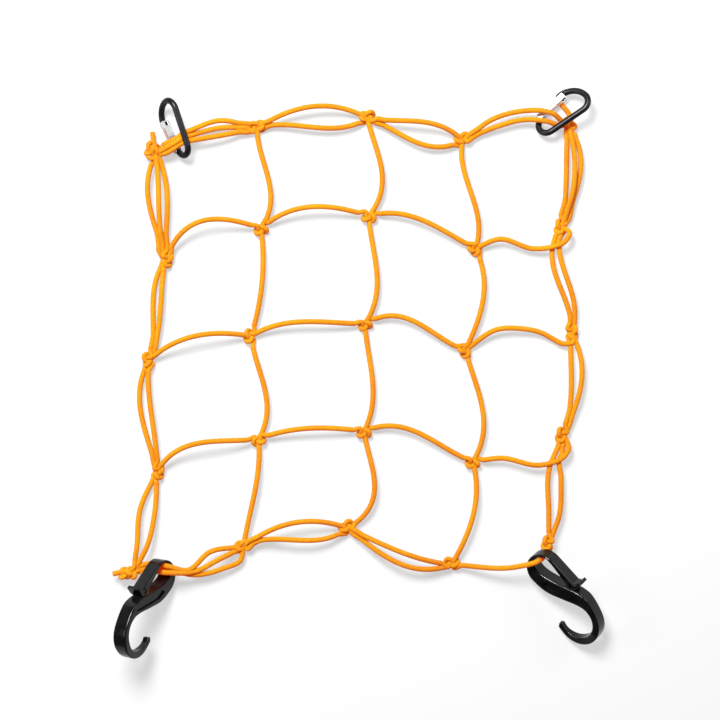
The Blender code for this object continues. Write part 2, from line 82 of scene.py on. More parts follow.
# Painted shade: a darker red laid into the braid's grooves, where shade falls between the yarns.
GROOVE_SHADE_COLOUR = (0.16, 0.030, 0.001)
CORD_FINISH_AND_PAINTED_GLOW = {
    "Roughness": 0.6,
    "Specular IOR Level": 0.12,
    "Sheen Weight": 0.03,
    "Sheen Roughness": 0.4,
    "Sheen Tint": (1.0, 0.55, 0.12, 1.0),
    # Painted glow: a faint red emission that paints the deep red of the cord's shaded sides; the real
    # cord gives no light.
    "Emission Color": (1.0, 0.03, 0.0, 1.0),
    "Emission Strength": 0.34,
    "Subsurface Weight": 0.25,
    "Subsurface Radius": (1.0, 0.2, 0.02),
    "Subsurface Scale": 0.0022,
}
ANODISED_COLOURS = ((0.002, 0.002, 0.003), (0.005, 0.005, 0.006))
ANODISED_ROUGHNESS = (0.26, 0.40)
ANODISED_SPECULAR = 0.17
GRAIN_SCALE = 700.0
GRAIN_BUMP = (0.12, 0.0001)
WEAR_SCALE = 60.0
BRIGHT_COLOURS = ((0.68, 0.68, 0.69), (0.64, 0.64, 0.66))
BRIGHT_ROUGHNESS = (0.35, 0.41)
BRIGHT_TONE_SCALE = 120.0
STREAK_SCALE = 500.0
STREAK_STRETCH = (1.0, 0.08, 1.0)
PLASTIC_COLOURS = ((0.001, 0.001, 0.001), (0.003, 0.003, 0.003))
PLASTIC_ROUGHNESS = (0.12, 0.24)
PLASTIC_SPECULAR = 0.22
SKIN_SCALE = 420.0
SKIN_BUMP = (0.10, 0.00015)
SCUFF_SCALE = 90.0
NOISE_RANGE = (0.3, 0.7)      # the part of its range that a noise really fills
MIX_FIRST = 6                 # the Mix node's colour sockets
MIX_SECOND = 7
MIX_RESULT = 2

# ---- cord and knots --------------------------------------------------------------
CORD_RADIUS = 2.1
COIL_RADIUS = 1.85            # elastic cord is a little thinner in its tight knots
CORD_SIDES = 16
CORD_STEP = 1.5               # spacing of a strand's points
COIL_STEP = 0.9               # and of a knot's
CORD_SHARP = 50.0             # only the cut ends bend more sharply than this
ARM_REACH = 15.0              # an arm's direction is read this far from its knot
ROUND_SHARE = 1.25            # an arm this much longer than its reach bends round the knot
BUNDLE_ANGLE = 30.0           # arms closer than this lie side by side at a knot
BUNDLE_PITCH = 3.5            # least spacing of their middle lines
BUNDLE_LIFT = 0.5             # every second arm lies this much higher, the others lower
BUNDLE_PINCH = 0.35           # share of that spacing left in the middle of the knot
BUNDLE_SPREAD = 9.0           # all of it is reached this far out
BUNDLE_FADE = 34.0            # and no arm is moved beyond this
BUNDLE_TURNS = 10             # rounds in which they push each other apart
FACE_WEIGHT = 60.0            # what it costs, in degrees, if an arm runs along the knot's face
COIL_REACH = 8.8              # a knot's own cord takes over from two of its arms here
COIL_OPEN = 0.62              # radians left out of the closed curve at either end
COIL_SHIFT = 0.3              # how far the curve sits towards the side it faces
COIL_RISE = 2.1               # how far its turns pass over and under each other
COIL_SAMPLES = 26
COIL_CLEARANCE = 0.1          # every coil is raised by this, beyond what lifts it to the floor
COIL_THINNING = 8             # points over which the cord thins into the knot

# Knots: name, x, y, height of its middle, size of its coil, the way its loops
# face and the tilt, both in degrees.
KNOTS = (
    ("top_0", -162, 164, 9, 2.1, 160, 20),
    ("top_1", -82, 185, 4, 1.9, 90, -15),
    ("top_2", 6, 193, 4, 1.9, 120, 12),
    ("top_3", 82, 175, 4, 1.85, 90, -8),
    ("top_4", 166, 187, 4, 1.8, 0, 0),
    ("row1_0", -155, 80, 4, 1.8, 0, 10),
    ("row1_1", -79, 105, 4, 1.65, -100, -12),
    ("row1_2", 7, 115, 4, 1.7, -80, 14),
    ("row1_3", 92, 89, 4, 1.65, -110, -6),
    ("row1_4", 161, 106, 4, 1.8, 180, 8),
    ("row2_0", -168, 0, 4, 1.75, 180, -14),
    ("row2_1", -87, 19, 4, 1.65, -150, 9),
    ("row2_2", 4, 29, 4, 1.6, -110, -10),
    ("row2_3", 84, 8, 4, 1.7, -150, 15),
    ("row2_4", 168, 22, 4, 1.75, 0, -9),
    ("row3_0", -162, -89, 4, 1.8, 0, 12),
    ("row3_1", -81, -63, 4, 1.6, -110, -13),
    ("row3_2", 3, -57, 4, 1.65, -80, 10),
    ("row3_3", 90, -81, 4, 1.65, -110, -15),
    ("row3_4", 162, -60, 4, 1.8, 180, 7),
    ("foot_0", -180, -168, 11, 1.5, -90, 0),
    ("foot_1", -93, -149, 5, 1.8, 120, 12),
    ("foot_2", -10, -134, 4, 1.85, 110, -12),
    ("foot_3", 73, -163, 5, 1.8, 60, 9),
    ("foot_4", 150, -146, 9, 1.7, 180, 0),
)

# More turns where a corner is knotted twice: x, y, height of the middle, size,
# heading and tilt in degrees.
EXTRA_COILS = (
    (-165, 167, 9.5, 1.9, 60, -18),
    (-187, -169.5, 10, 1.35, 190, 15),
)

# Spans: from, to, sideways bow at one third and at two thirds (to the left of
# the way it runs), rise in the middle.
SPANS = (
    # columns, from the top edge down
    ("top_1", "row1_1", 4, 9, 6),
    ("row1_1", "row2_1", 4.5, 4.5, 5),
    ("row2_1", "row3_1", 5, 9, 5),
    ("row3_1", "foot_1", 3.5, 2, 6),
    ("top_2", "row1_2", 7, 11, 6),
    ("row1_2", "row2_2", 5, 8.5, 5),
    ("row2_2", "row3_2", 4, 7, 4),
    ("row3_2", "foot_2", 11, 16, 6),
    ("top_3", "row1_3", -1.5, 4, 6),
    ("row1_3", "row2_3", 9.5, 8, 4),
    ("row2_3", "row3_3", 7, 10.5, 4),
    ("row3_3", "foot_3", 8, 7, 6),
    # rows, from the left edge to the right
    ("row1_0", "row1_1", 18, 15.5, 13),
    ("row1_1", "row1_2", 11, 9.5, 10),
    ("row1_2", "row1_3", 9, 6, 6),
    ("row2_0", "row2_1", 9, 8.5, 13),
    ("row2_1", "row2_2", 7, 4.5, 8),
    ("row2_2", "row2_3", 12.5, 6.5, 5),
    ("row3_0", "row3_1", 12, 8, 13),
    ("row3_1", "row3_2", 5.5, 5, 8),
    ("row3_2", "row3_3", 11.5, 6.5, 5),
    # top edge
    ("top_1", "top_2", 10, 11, 9),
    ("top_1", "top_2", -1, -6, 5),
    ("top_2", "top_3", 3, 6.5, 9),
    ("top_2", "top_3", -6.5, -11, 5),
    # right edge
    ("top_4", "row1_4", 0, 1, 4),
    ("top_4", "row1_4", 6, 6, 8),
    ("top_4", "row1_4", 11.5, 8.5, 3),
    ("row1_4", "row2_4", -10, -3, 3),
    ("row1_4", "row2_4", -3, 3.5, 5),
    ("row2_4", "row3_4", 2, 3.5, 4),
    ("row2_4", "row3_4", 10.5, 8.5, 5),
    # bottom edge
    ("foot_2", "foot_3", -2, -3, 12),
    ("foot_2", "foot_3", -9, -12, 9),
    ("foot_1", "foot_2", 11, 11.5, 12),
    ("foot_1", "foot_2", 2, -4, 9),
    # left edge
    ("top_0", "row1_0", -9, -6, 5),
    ("top_0", "row1_0", 0, -1.5, 8),
    ("top_0", "row1_0", 6, 3.5, 3),
    ("row1_0", "row2_0", -5, -1, 3),
    ("row1_0", "row2_0", 1.5, 3.5, 5),
    ("row2_0", "row3_0", -9.5, -6, 4),
    ("row2_0", "row3_0", -1.5, 0.5, 6),
)

# Tails: the cord's cut ends. Knot, then a point on the way and the free tip.
TAILS = (
    ("top_0", (-164, 172, 6), (-165.5, 181.5, 5)),
    ("top_4", (167.5, 194.5, 2.6), (160.5, 204.5, 2.4)),
    ("foot_0", (-188, -168, 11), (-196, -170, 9)),
)

# Strands that thread the hardware or turn back into a knot. A way point is a
# knot's name, a free (x, y, height), or a place in a fitting's own frame:
# (fitting, along, across, out of its plane).
THREADED = (
    # left carabiner: over the gate and under the spine
    ("top_0", (-145, 174.6, 14.8), (-140, 179.8, 13),
     (-134.3, 182.2, 12.5), (-112, 190, 11), "top_1"),
    ("top_0", (-145, 172.7, 15.6), (-139.3, 176.6, 13),
     (-134.3, 178.4, 11), (-112, 184.5, 8), "top_1"),
    ("top_0", (-145, 170.8, 14.8), (-138.4, 173.3, 13),
     (-134.3, 174.1, 12.3), (-112, 178, 11), "top_1"),
    # right carabiner: over the gate and under the spine
    ("top_3", (107, 192, 10), (131, 198, 10),
     (145, 197.4, 13.6), (152.8, 195.4, 14), (159.4, 191, 8.8), "top_4"),
    ("top_3", (107, 185, 8), (131, 191, 9),
     (144.5, 190, 11.5), (150.5, 188.9, 10.4), (156, 187.2, 7.6), "top_4"),
    # rows that come back to the edge from outside it
    ("row1_3", (110, 96, 9), (139, 88.5, 8), (153.5, 90, 10),
     (162, 93.5, 12), (166.5, 100.5, 11), "row1_4"),
    ("row2_3", (110, 24.5, 9), (128, 25, 8), (145, 21.5, 6),
     (153.5, 17, 5), (162, 13, 5.5), (170, 14.5, 7), "row2_4"),
    ("row3_3", (112, -78, 9), (145, -83, 10), (166, -70, 9), "row3_4"),
    # left hook: through the eye, under the tongue
    ("row3_0", (-175, -119, 8), (-177, -148, 12), "foot_0"),
    ("row3_0", (-163, -119, 8), (-169, -148, 13), "foot_0"),
    ("foot_0", ("hook_left", -6.1, 6.6, 7), ("hook_left", -6.1, 6.6, -7),
     (-136.7, -166.4, 15), (-119, -152.2, 13), "foot_1"),
    ("foot_0", ("hook_left", -1.8, 4.2, 7), ("hook_left", -1.8, 4.2, -7),
     (-130.6, -167.5, 13.5), (-112.7, -158.7, 11), "foot_1"),
    ("foot_0", ("hook_left", -6.1, 1.9, 7), ("hook_left", -6.1, 1.9, -7),
     (-130.6, -170.5, 11), (-108.4, -165.6, 9), (-95, -159.2, 6), "foot_1"),
    # right hook: through the eye from behind
    ("row3_4", (150, -90, 8), (150, -120, 9), "foot_4"),
    ("row3_4", (160, -90, 8), (158, -125, 9), "foot_4"),
    ("foot_4", ("hook_right", -7.1, 4.5, -7), ("hook_right", -7.1, 4.5, 7),
     (122.3, -163.4, 19), "foot_3"),
)

# ---- fittings --------------------------------------------------------------------
# Name, x, y, height of its own zero, heading, roll, pitch in degrees.
FITTINGS = (
    ("carabiner_left", -133.5, 160.9, 16.4, 107.6, -50.8, 7),
    ("carabiner_right", 143.9, 176.3, 9.6, 33.5, -27.5, 12.8),
    ("hook_left", -158.2, -171.4, 14.1, -120.4, 129, 36),
    ("hook_right", 145.7, -164.3, 14.0, -47.9, 40, 8),
)


def fitting_frames():
    """Each fitting's own frame in the layout, by name."""
    frames = {}
    for name, x, y, height, heading, roll, pitch in FITTINGS:
        turn = Matrix.Rotation(math.radians(heading), 4, "Z")
        tip = Matrix.Rotation(math.radians(-pitch), 4, "Y")
        lean = Matrix.Rotation(math.radians(roll), 4, "X")
        frames[name] = Matrix.Translation((x, y, height)) @ turn @ tip @ lean
    return frames


FRAMES = fitting_frames()
KNOT_PLACES = {name: Vector((x, y, height)) for name, x, y, height, *_rest in KNOTS}


# ---- materials -------------------------------------------------------------------
class Surface:
    """A Principled material and short ways to add nodes to it."""

    def __init__(self, name, finish):
        self.material = bpy.data.materials.new(name)
        self.material.use_nodes = True
        self.tree = self.material.node_tree
        self.shader = self.tree.nodes["Principled BSDF"]
        for socket, value in finish.items():
            self.shader.inputs[socket].default_value = value
        self.place = None

    def feed(self, node_input, value):
        """Link a socket, or set a plain value."""
        if isinstance(value, bpy.types.NodeSocket):
            self.tree.links.new(value, node_input)
        else:
            node_input.default_value = value

    def math(self, operation, first, second=0.0):
        """Add a Math node; returns its result."""
        node = self.tree.nodes.new("ShaderNodeMath")
        node.operation = operation
        self.feed(node.inputs[0], first)
        self.feed(node.inputs[1], second)
        return node.outputs[0]

    def coordinates(self):
        """One node of coordinates for all of the material's noises."""
        if self.place is None:
            self.place = self.tree.nodes.new("ShaderNodeTexCoord")
        return self.place

    def noise(self, scale, detail=3.0, stretch=(1.0, 1.0, 1.0)):
        """Noise in the object's own metres, as a value from 0 to 1."""
        mapping = self.tree.nodes.new("ShaderNodeMapping")
        mapping.inputs["Scale"].default_value = stretch
        self.tree.links.new(self.coordinates().outputs["Object"], mapping.inputs["Vector"])
        node = self.tree.nodes.new("ShaderNodeTexNoise")
        node.inputs["Scale"].default_value = scale
        node.inputs["Detail"].default_value = detail
        self.tree.links.new(mapping.outputs["Vector"], node.inputs["Vector"])
        return node.outputs["Fac"]

    def spread(self, value, low, high, useful=NOISE_RANGE):
        """Map a value's useful part to a range."""
        node = self.tree.nodes.new("ShaderNodeMapRange")
        self.feed(node.inputs["Value"], value)
        node.inputs["From Min"].default_value = useful[0]
        node.inputs["From Max"].default_value = useful[1]
        node.inputs["To Min"].default_value = low
        node.inputs["To Max"].default_value = high
        return node.outputs["Result"]

    def blend(self, share, first, second):
        """A colour between two others."""
        node = self.tree.nodes.new("ShaderNodeMix")
        node.data_type = "RGBA"
        self.feed(node.inputs["Factor"], share)
        for slot, colour in ((MIX_FIRST, first), (MIX_SECOND, second)):
            value = colour if isinstance(colour, bpy.types.NodeSocket) else (*colour, 1.0)
            self.feed(node.inputs[slot], value)
        return node.outputs[MIX_RESULT]

    def bump(self, height, strength, distance):
        """Let a height tilt the surface's normal."""
        node = self.tree.nodes.new("ShaderNodeBump")
        node.inputs["Strength"].default_value = strength
        node.inputs["Distance"].default_value = distance
        self.feed(node.inputs["Height"], height)
        self.tree.links.new(node.outputs["Normal"], self.shader.inputs["Normal"])


def cord_material():
    """Braided elastic sleeve: crossing yarns that lift and dip, with painted shade in the grooves
    between them and a faint painted red glow.
    """
    cord = Surface("orange_braid", CORD_FINISH_AND_PAINTED_GLOW)
    uv = cord.tree.nodes.new("ShaderNodeUVMap")
    uv.uv_map = "braid"
    parts = cord.tree.nodes.new("ShaderNodeSeparateXYZ")
    cord.tree.links.new(uv.outputs["UV"], parts.inputs["Vector"])
    around = cord.math("MULTIPLY", parts.outputs["X"], BRAID_CARRIERS * math.tau)
    along = cord.math("MULTIPLY", parts.outputs["Y"], BRAID_CARRIERS * math.tau)
    right = cord.math("SINE", cord.math("ADD", around, along))
    left = cord.math("SINE", cord.math("SUBTRACT", around, along))
    yarn = cord.math("MAXIMUM", right, left)
    fibre = cord.noise(FIBRE_SCALE, detail=2.0)
    height = cord.math("ADD", yarn, cord.math("MULTIPLY", fibre, FIBRE_SHARE))
    cord.bump(height, *BRAID_BUMP)
    groove = cord.spread(yarn, 1.0, 0.0, (0.0, GROOVE_TOP))
    patch = cord.spread(cord.noise(CORD_PATCH_SCALE), 0.0, 1.0)
    lit = cord.blend(patch, *CORD_COLOURS)
    # painted shade: the grooves darken the yarns' colour towards a deeper red
    shade = cord.math("MULTIPLY", groove, GROOVE_SHADE_SHARE)
    cord.feed(cord.shader.inputs["Base Color"], cord.blend(shade, lit, GROOVE_SHADE_COLOUR))
    return cord.material


def black_metal_material():
    """Satin black anodised aluminium, a little worn: its skin is no bare metal."""
    metal = Surface("black_anodised", {"Specular IOR Level": ANODISED_SPECULAR})
    grain = metal.noise(GRAIN_SCALE, detail=4.0)
    wear = metal.spread(metal.noise(WEAR_SCALE, detail=4.0), 0.0, 1.0)
    metal.feed(metal.shader.inputs["Base Color"], metal.blend(wear, *ANODISED_COLOURS))
    metal.feed(metal.shader.inputs["Roughness"], metal.spread(grain, *ANODISED_ROUGHNESS))
    metal.bump(grain, *GRAIN_BUMP)
    return metal.material


def bright_metal_material():
    """Bright pressed aluminium, a little streaked."""
    metal = Surface("bright_aluminium", {"Metallic": 1.0})
    streaks = metal.noise(STREAK_SCALE, stretch=STREAK_STRETCH)
    metal.feed(metal.shader.inputs["Roughness"], metal.spread(streaks, *BRIGHT_ROUGHNESS))
    tone = metal.spread(metal.noise(BRIGHT_TONE_SCALE), 0.0, 1.0)
    metal.feed(metal.shader.inputs["Base Color"], metal.blend(tone, *BRIGHT_COLOURS))
    return metal.material


def black_plastic_material():
    """Moulded black plastic, glossy with a faint orange-peel skin."""
    plastic = Surface("black_moulded", {"Specular IOR Level": PLASTIC_SPECULAR})
    scuff = plastic.noise(SCUFF_SCALE, detail=5.0)
    plastic.feed(plastic.shader.inputs["Roughness"], plastic.spread(scuff, *PLASTIC_ROUGHNESS))
    tone = plastic.spread(scuff, 0.0, 1.0)
    plastic.feed(plastic.shader.inputs["Base Color"], plastic.blend(tone, *PLASTIC_COLOURS))
    plastic.bump(plastic.noise(SKIN_SCALE), *SKIN_BUMP)
    return plastic.material


# ---- shared helpers --------------------------------------------------------------
def scaled(point):
    """A layout point in millimetres as a point of the frame in metres."""
    return (Vector(point) - LAYOUT_CENTRE) * MM


def own_to_world(own):
    """The matrix that takes a fitting's metres to the frame's metres."""
    placed = own.copy()
    placed.translation = scaled(own.translation)
    return placed


def smooth_path(points, spacing):
    """Points along a smooth curve through the given points."""
    points = [Vector(point) for point in points]
    lengths = [(b - a).length for a, b in zip(points, points[1:])]
    slopes = [(b - a) / d for a, b, d in zip(points, points[1:], lengths)]
    tangents = [slopes[0]]
    for before, after, d_before, d_after in zip(slopes, slopes[1:], lengths, lengths[1:]):
        tangents.append((before * d_after + after * d_before) / (d_before + d_after))
    tangents.append(slopes[-1])
    path = [points[0]]
    for index, length in enumerate(lengths):
        steps = max(1, round(length / spacing))
        for step in range(1, steps + 1):
            t = step / steps
            start = points[index] * (2 * t**3 - 3 * t**2 + 1)
            start += tangents[index] * length * (t**3 - 2 * t**2 + t)
            end = points[index + 1] * (3 * t**2 - 2 * t**3)
            end += tangents[index + 1] * length * (t**3 - t**2)
            path.append(start + end)
    return path


def ease(share):
    """A share kept between 0 and 1, with a soft start and end."""
    share = min(1.0, max(0.0, share))
    return share * share * (3 - 2 * share)


def arc(centre_x, centre_y, radius, start, end, steps):
    """Points of an arc; angles in degrees."""
    points = []
    for step in range(steps + 1):
        angle = math.radians(start + (end - start) * step / steps)
        points.append((centre_x + radius * math.cos(angle), centre_y + radius * math.sin(angle)))
    return points


def new_piece(mesh, name, material, body, *nodes, slot):
    """Link a mesh as a piece that rides on a body and stands for CAD nodes."""
    piece = bpy.data.objects.new(name, mesh)
    bpy.context.scene.collection.objects.link(piece)
    mesh.materials.clear()
    mesh.materials.append(material)
    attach(piece, body)
    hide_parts(*nodes)
    return piece


# ---- net: strands ----------------------------------------------------------------
def way_point(point):
    """A way point of a threaded strand as a layout point."""
    if isinstance(point, str):
        return KNOT_PLACES[point]
    if isinstance(point[0], str):
        return FRAMES[point[0]] @ Vector(point[1:])
    return Vector(point)


def span_points(start, end, bow_1, bow_2, rise):
    """A slack cord between two knots: a sideways bow and an arch."""
    start = KNOT_PLACES[start]
    end = KNOT_PLACES[end]
    run = end - start
    left = Vector((-run.y, run.x, 0.0)).normalized()
    # with these two, the side is bow_1 at one third and bow_2 at two thirds
    first = 9.0 * bow_1 - 4.5 * bow_2
    growth = 13.5 * (bow_2 - bow_1)
    steps = round(run.length / CORD_STEP)
    points = []
    for step in range(steps + 1):
        t = step / steps
        arch = t * (1 - t)
        side = left * arch * (first + growth * t)
        points.append(start + run * t + side + Vector((0, 0, 4 * rise * arch)))
    return points


def all_strands():
    """Every strand: the knots at its two ends and its points."""
    strands = []
    for row in SPANS:
        strands.append([row[0], row[1], span_points(*row)])
    for route in THREADED:
        strands.append([route[0], route[-1], smooth_path([way_point(p) for p in route], CORD_STEP)])
    for knot, middle, tip in TAILS:
        strands.append([knot, None, smooth_path([KNOT_PLACES[knot], middle, tip], CORD_STEP)])
    return strands


def arms_of(knot, strands):
    """The strands at a knot: (direction, strand, whether the strand starts there)."""
    place = KNOT_PLACES[knot]
    arms = []
    for strand in strands:
        for at_start, name in ((True, strand[0]), (False, strand[1])):
            if name != knot:
                continue
            points = strand[2] if at_start else strand[2][::-1]
            reach = next((p for p in points if (p - place).xy.length > ARM_REACH), points[-1])
            away = reach - place
            arms.append((math.degrees(math.atan2(away.y, away.x)), strand, at_start))
    arms.sort(key=lambda arm: arm[0])
    return arms


def comes_round(arm, place):
    """Whether an arm bends round its knot instead of leaving it straight."""
    _angle, strand, at_start = arm
    points = strand[2] if at_start else strand[2][::-1]
    run = 0.0
    for before, after in zip(points, points[1:]):
        run += (after - before).length
        if (after - place).xy.length > ARM_REACH:
            return run > ROUND_SHARE * ARM_REACH
    return False


def bundles_of(arms):
    """Arms grouped where they leave a knot side by side."""
    if not arms:
        return []
    gaps = [(arms[i][0] - arms[i - 1][0]) % 360 for i in range(len(arms))]
    first = max(range(len(arms)), key=lambda i: gaps[i])
    ordered = arms[first:] + arms[:first]
    bundles = [[ordered[0]]]
    for before, arm in zip(ordered, ordered[1:]):
        if (arm[0] - before[0]) % 360 < BUNDLE_ANGLE:
            bundles[-1].append(arm)
        else:
            bundles.append([arm])
    return bundles


def offset_at(lane, away):
    """How far to the side a lane's strand is at a distance from its knot."""
    return min(lane, key=lambda row: abs(row[0] - away))[1]


def kept_apart(offsets, pitch):
    """The offsets moved as little as keeps each at least a pitch from the next."""
    apart = list(offsets)
    for _turn in range(BUNDLE_TURNS):
        for index in range(len(apart) - 1):
            short = max(0.0, pitch - (apart[index + 1] - apart[index]))
            apart[index] -= short / 2
            apart[index + 1] += short / 2
    return apart


def spread_bundle(bundle, place):
    """Keep the arms of one bundle from running into each other next to their knot."""
    if len(bundle) == 1:
        return
    mean = Vector((0.0, 0.0, 0.0))
    for angle, _strand, _at_start in bundle:
        mean += Vector((math.cos(math.radians(angle)), math.sin(math.radians(angle)), 0.0))
    mean.normalize()
    side = Vector((-mean.y, mean.x, 0.0))
    near = [
        [p for p in strand[2] if (p - place).length < BUNDLE_FADE]
        for _angle, strand, _at_start in bundle
    ]
    lanes = [[((p - place).length, (p - place).dot(side)) for p in points] for points in near]
    for index, (points, lane) in enumerate(zip(near, lanes)):
        lift = BUNDLE_LIFT if index % 2 else -BUNDLE_LIFT
        for point, (away, now) in zip(points, lane):
            opened = BUNDLE_PINCH + (1 - BUNDLE_PINCH) * ease(away / BUNDLE_SPREAD)
            kept = 1 - ease((away - BUNDLE_SPREAD) / (BUNDLE_FADE - BUNDLE_SPREAD))
            offsets = [offset_at(other, away) for other in lanes]
            apart = kept_apart(offsets, BUNDLE_PITCH * opened)
            point += side * (apart[index] - now) * kept
            point.z += lift * kept


def opposite_pair(arms, face):
    """The two arms that best run straight through a knot, across its face."""
    best = None
    for i, first in enumerate(arms):
        for second in arms[i + 1:]:
            bend = abs(180 - (second[0] - first[0]) % 360)
            along = abs(math.cos(math.radians(first[0] - face)))
            along += abs(math.cos(math.radians(second[0] - face)))
            cost = bend + FACE_WEIGHT * along
            if first[1] is not second[1] and (best is None or cost < best[0]):
                best = (cost, first, second)
    return best[1], best[2]


def trim_arm(arm, place, reach):
    """Cut an arm short of its knot; returns where it now ends."""
    _angle, strand, at_start = arm
    points = strand[2] if at_start else strand[2][::-1]
    kept = [p for p in points if (p - place).length > reach]
    strand[2] = kept if at_start else kept[::-1]
    return kept[0].copy(), kept[1].copy()


def coil_turns(place, level, size, tilt, face, gap):
    """The turns of an overhand knot whose cord runs along `level`."""
    facing = Vector((math.cos(math.radians(face)), math.sin(math.radians(face)), 0.0))
    across = Vector((-level.y, level.x, 0.0))
    if across.dot(facing) < 0:
        across = -across
    lean = Matrix.Rotation(math.radians(tilt), 3, level)
    points = []
    low, high = math.pi + gap, 3 * math.pi - gap
    for index in range(COIL_SAMPLES + 1):
        t = high + (low - high) * index / COIL_SAMPLES
        x = math.sin(t) + 2 * math.sin(2 * t)
        y = math.cos(t) - 2 * math.cos(2 * t) + COIL_SHIFT
        lift = -math.sin(3 * t) * COIL_RISE
        points.append(lean @ (level * x * size + across * y * size + Vector((0, 0, lift))))
    lowest = min(p.z + place.z for p in points) - COIL_RADIUS
    raised = Vector((0, 0, max(0.0, -lowest) + COIL_CLEARANCE))
    return [place + p + raised for p in points]


def coil_points(place, start, end, size, tilt, face):
    """An overhand knot's own cord, from one arm to the other."""
    level = end[0] - start[0]
    level.z = 0.0
    level.normalize()
    turns = coil_turns(place, level, size, tilt, face, COIL_OPEN)
    return smooth_path([start[1], start[0]] + turns + [end[0], end[1]], COIL_STEP)


def build_strands():
    """The lines of all strands, of the knots and of their further turns."""
    strands = all_strands()
    for name, *_rest in KNOTS:
        place = KNOT_PLACES[name]
        straight = [arm for arm in arms_of(name, strands) if not comes_round(arm, place)]
        for bundle in bundles_of(straight):
            spread_bundle(bundle, place)
    coils = []
    for name, _x, _y, _z, size, face, tilt in KNOTS:
        place = KNOT_PLACES[name]
        arms = [arm for arm in arms_of(name, strands) if arm[1][1] is not None]  # no tails
        first, second = opposite_pair(arms, face)
        start = trim_arm(first, place, COIL_REACH)
        end = trim_arm(second, place, COIL_REACH)
        coils.append(coil_points(place, start, end, size, tilt, face))
    loops = []
    for x, y, z, size, heading, tilt in EXTRA_COILS:
        run = Vector((math.cos(math.radians(heading)), math.sin(math.radians(heading)), 0.0))
        turns = coil_turns(Vector((x, y, z)), run, size, tilt, heading + 90, 0.0)
        # two more points lap over its start, so that no end shows
        loops.append(smooth_path(turns + turns[1:3], COIL_STEP))
    return [strand[2] for strand in strands], coils, loops


# ---- net: tubes ------------------------------------------------------------------
class Tubes:
    """Swept round tubes collected into one mesh with a map for the braid."""

    def __init__(self):
        self.points = []
        self.faces = []
        self.corners = []

    def add(self, line, radii):
        """Sweep one closed tube along a line, with a radius for each of its points."""
        rings = []
        normal = None
        run = 0.0
        for index, centre in enumerate(line):
            before = line[max(index - 1, 0)]
            after = line[min(index + 1, len(line) - 1)]
            tangent = (after - before).normalized()
            if normal is None:
                normal = tangent.orthogonal().normalized()
            normal = (normal - tangent * normal.dot(tangent)).normalized()
            other = tangent.cross(normal)
            ring = []
            for side in range(CORD_SIDES):
                angle = math.tau * side / CORD_SIDES
                reach = normal * math.cos(angle) + other * math.sin(angle)
                ring.append(len(self.points))
                self.points.append(scaled(centre + reach * radii[index]))
            if index:
                run += (centre - line[index - 1]).length
            rings.append((ring, run / BRAID_PITCH))
        for (ring, along), (next_ring, next_along) in zip(rings, rings[1:]):
            for side in range(CORD_SIDES):
                step = (side + 1) % CORD_SIDES
                self.faces.append((ring[side], ring[step], next_ring[step], next_ring[side]))
                low, high = side / CORD_SIDES, (side + 1) / CORD_SIDES
                self.corners += [(low, along), (high, along), (high, next_along), (low, next_along)]
        for ring, along in (rings[0], rings[-1]):
            loop = ring[::-1] if ring is rings[0][0] else ring
            self.faces.append(tuple(loop))
            self.corners += [(side / CORD_SIDES, along) for side in range(CORD_SIDES)]

    def mesh(self, name):
        """One mesh of all the tubes."""
        made = bpy.data.meshes.new(name)
        made.from_pydata(self.points, [], self.faces)
        layer = made.uv_layers.new(name="braid")
        for slot, corner in zip(layer.data, self.corners):
            slot.uv = corner
        made.shade_smooth()
        made.set_sharp_from_angle(angle=math.radians(CORD_SHARP))
        return made


def build_net(cord):
    """All strands, knots and tails as one piece."""
    strands, coils, loops = build_strands()
    tubes = Tubes()
    for line in strands:
        tubes.add(line, [CORD_RADIUS] * len(line))
    for line in coils:
        last = len(line) - 1
        radii = []
        for index in range(len(line)):
            share = ease(min(index, last - index) / COIL_THINNING)
            radii.append(CORD_RADIUS + (COIL_RADIUS - CORD_RADIUS) * share)
        tubes.add(line, radii)
    for line in loops:
        tubes.add(line, [COIL_RADIUS] * len(line))
    new_piece(tubes.mesh("net_cords"), "net_cords", cord, ROOT_BODY, "net", slot="orange_cord")


# ---- shapes for the fittings -----------------------------------------------------
WELD = 1e-6                   # metres
CUT_WELD = 1e-7
PLATE_ROUND_STEPS = 4
BAR_ROUND_STEPS = 8
DISC_SIDES = 32
HALF_ROUND_STEPS = 16
SHARP_ANGLE = 35.0            # edges that bend more than this stay sharp


def add_line(curve, points, closed=False):
    """Add straight lines through points in metres to a curve."""
    spline = curve.splines.new("POLY")
    spline.points.add(len(points) - 1)
    for slot, point in zip(spline.points, points):
        slot.co = (*point, 1.0)
    spline.use_cyclic_u = closed


def shape_object(curve, name):
    """Turn a curve into a mesh object whose caps are welded."""
    source = bpy.data.objects.new(name + "_curve", curve)
    bpy.context.scene.collection.objects.link(source)
    graph = bpy.context.evaluated_depsgraph_get()
    mesh = bpy.data.meshes.new_from_object(source.evaluated_get(graph))
    bpy.data.objects.remove(source, do_unlink=True)
    shape = bmesh.new()
    shape.from_mesh(mesh)
    bmesh.ops.remove_doubles(shape, verts=shape.verts, dist=WELD)
    bmesh.ops.recalc_face_normals(shape, faces=shape.faces)
    shape.to_mesh(mesh)
    shape.free()
    return link_mesh(mesh, name)


def link_mesh(mesh, name):
    """A new object in the scene with this mesh."""
    placed = bpy.data.objects.new(name, mesh)
    bpy.context.scene.collection.objects.link(placed)
    return placed


